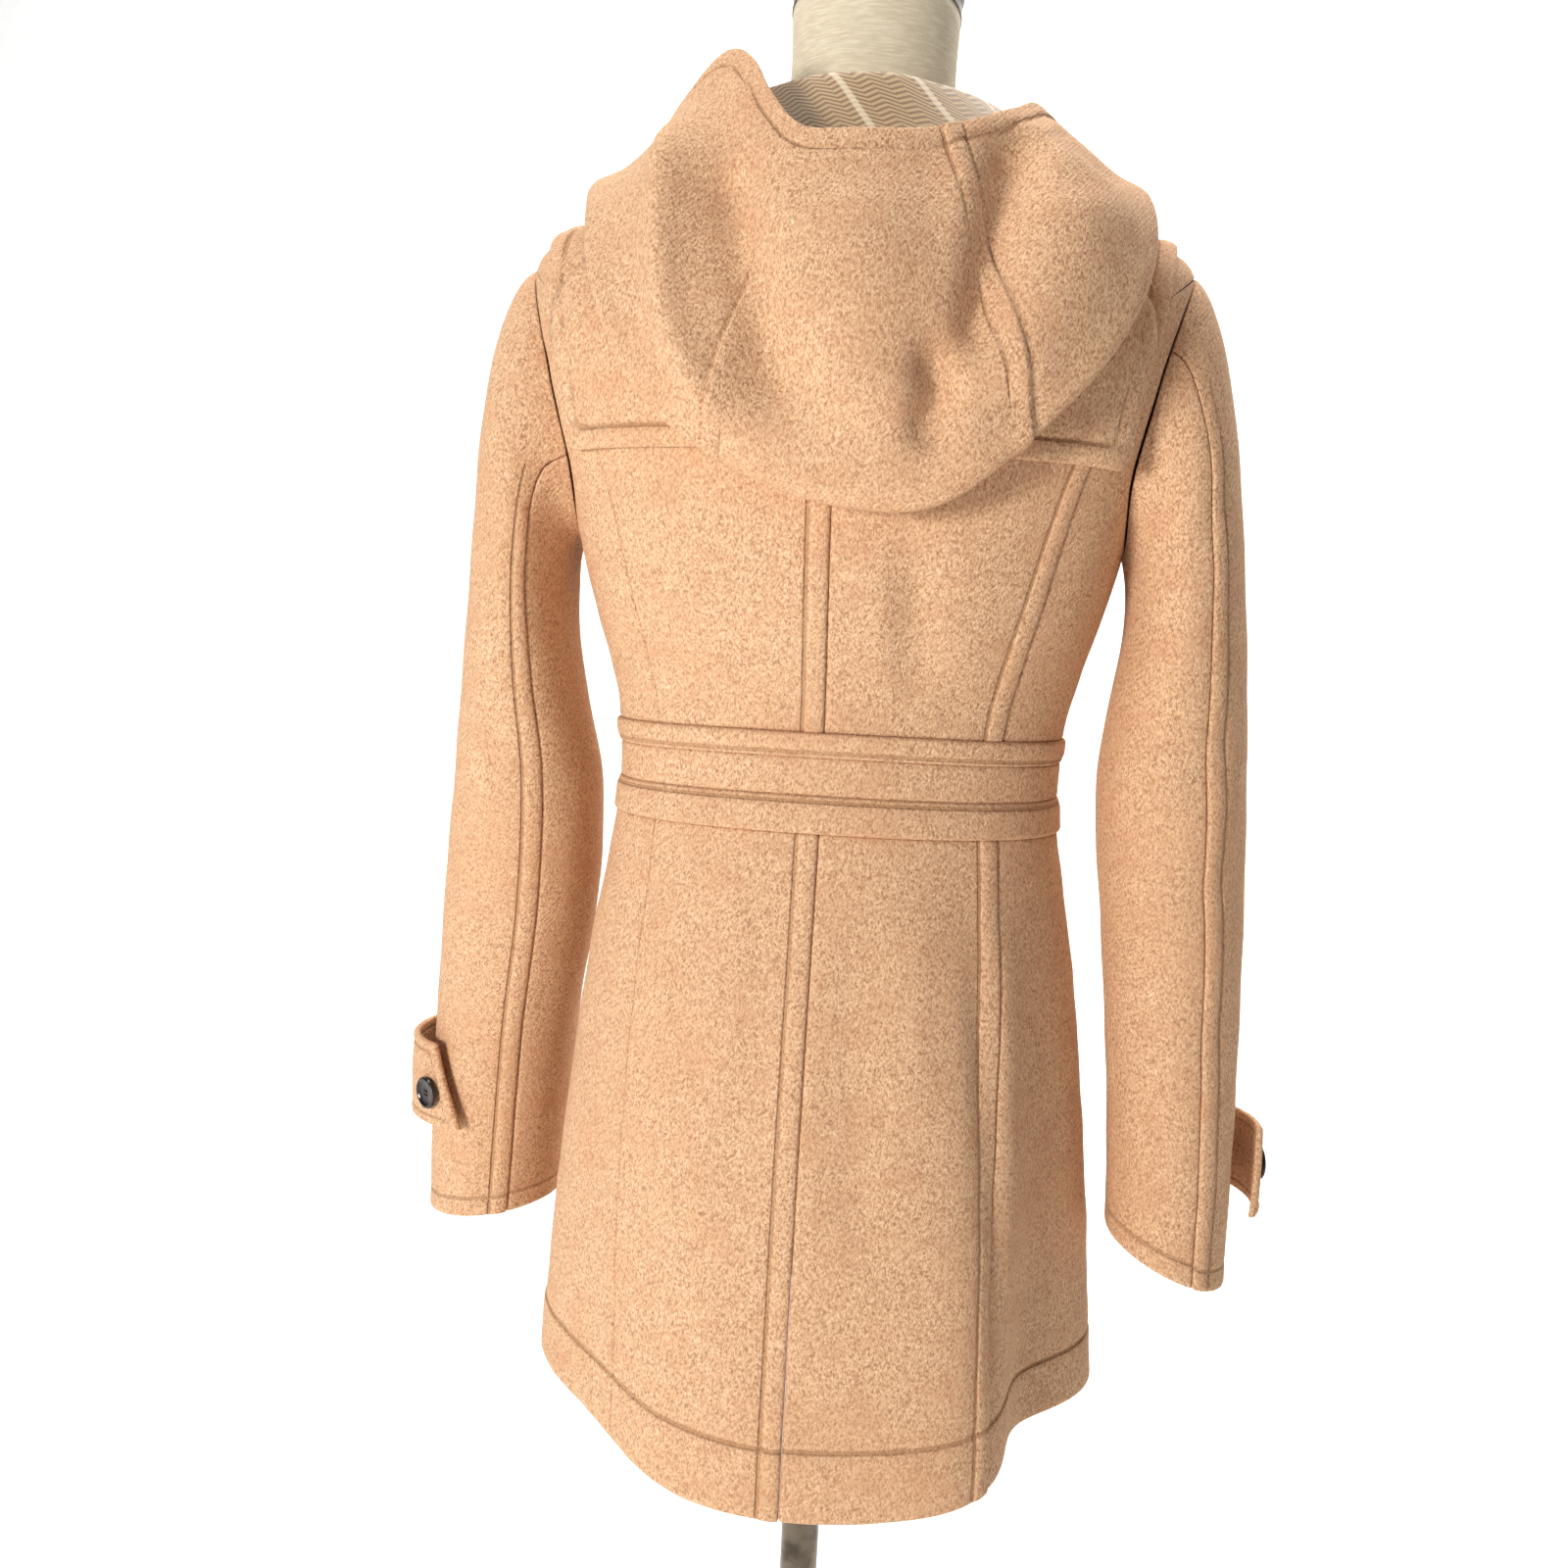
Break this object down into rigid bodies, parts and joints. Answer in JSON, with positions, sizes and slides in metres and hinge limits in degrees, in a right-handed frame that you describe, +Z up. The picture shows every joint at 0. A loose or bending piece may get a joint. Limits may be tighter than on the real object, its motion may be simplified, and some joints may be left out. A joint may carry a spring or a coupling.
{
  "type": "duffle coat on a dress form",
  "caption": "Hooded wool duffle coat with toggle closings, a yoke, a waistband and a flared skirt, worn by a limbless dress form on a pole stand.",
  "frame": {"origin": "centre of the stand base's underside, on the floor", "axes": "+Z up along the stand pole, -Y towards the coat's front, +X towards the wearer's left"},
  "size_m": [0.603, 0.3428, 1.3621],
  "materials": {
    "wool": "heathered camel wool melton, brushed",
    "lining": "smooth woven twill lining",
    "horn": "dark mottled horn, polished",
    "cord": "twisted cord",
    "form_cloth": "cream linen cover",
    "metal": "aged brushed metal"
  },
  "bodies": {
    "root": {"back_left": "wool", "back_right": "wool", "cuff_button_left": "horn", "cuff_button_right": "horn", "cuff_strap_left": "wool", "cuff_strap_right": "wool", "dress_form": "form_cloth", "front_left": "wool", "front_right": "wool", "hood": "wool", "hood_lining": "lining", "loop_1": "cord", "loop_2": "cord", "loop_3": "cord", "loop_4": "cord", "neck_band": "metal", "neck_cap": "metal", "patch_left_1": "wool", "patch_left_2": "wool", "patch_left_3": "wool", "patch_left_4": "wool", "patch_right_1": "wool", "patch_right_2": "wool", "patch_right_3": "wool", "patch_right_4": "wool", "side_back_left": "wool", "side_back_right": "wool", "skirt_back_left": "wool", "skirt_back_right": "wool", "skirt_front_left": "wool", "skirt_front_right": "wool", "skirt_side_left": "wool", "skirt_side_right": "wool", "sleeve_left_under": "wool", "sleeve_left_upper": "wool", "sleeve_right_under": "wool", "sleeve_right_upper": "wool", "stand_base": "metal", "stand_pole": "metal", "toggle_1": "horn", "toggle_2": "horn", "toggle_3": "horn", "toggle_4": "horn", "toggle_cord_1": "cord", "toggle_cord_2": "cord", "toggle_cord_3": "cord", "toggle_cord_4": "cord", "waist_strip_lower_left": "wool", "waist_strip_lower_right": "wool", "waist_strip_upper_left": "wool", "waist_strip_upper_right": "wool", "waistband_left": "wool", "waistband_right": "wool", "yoke": "wool"}
  },
  "joints": []
}
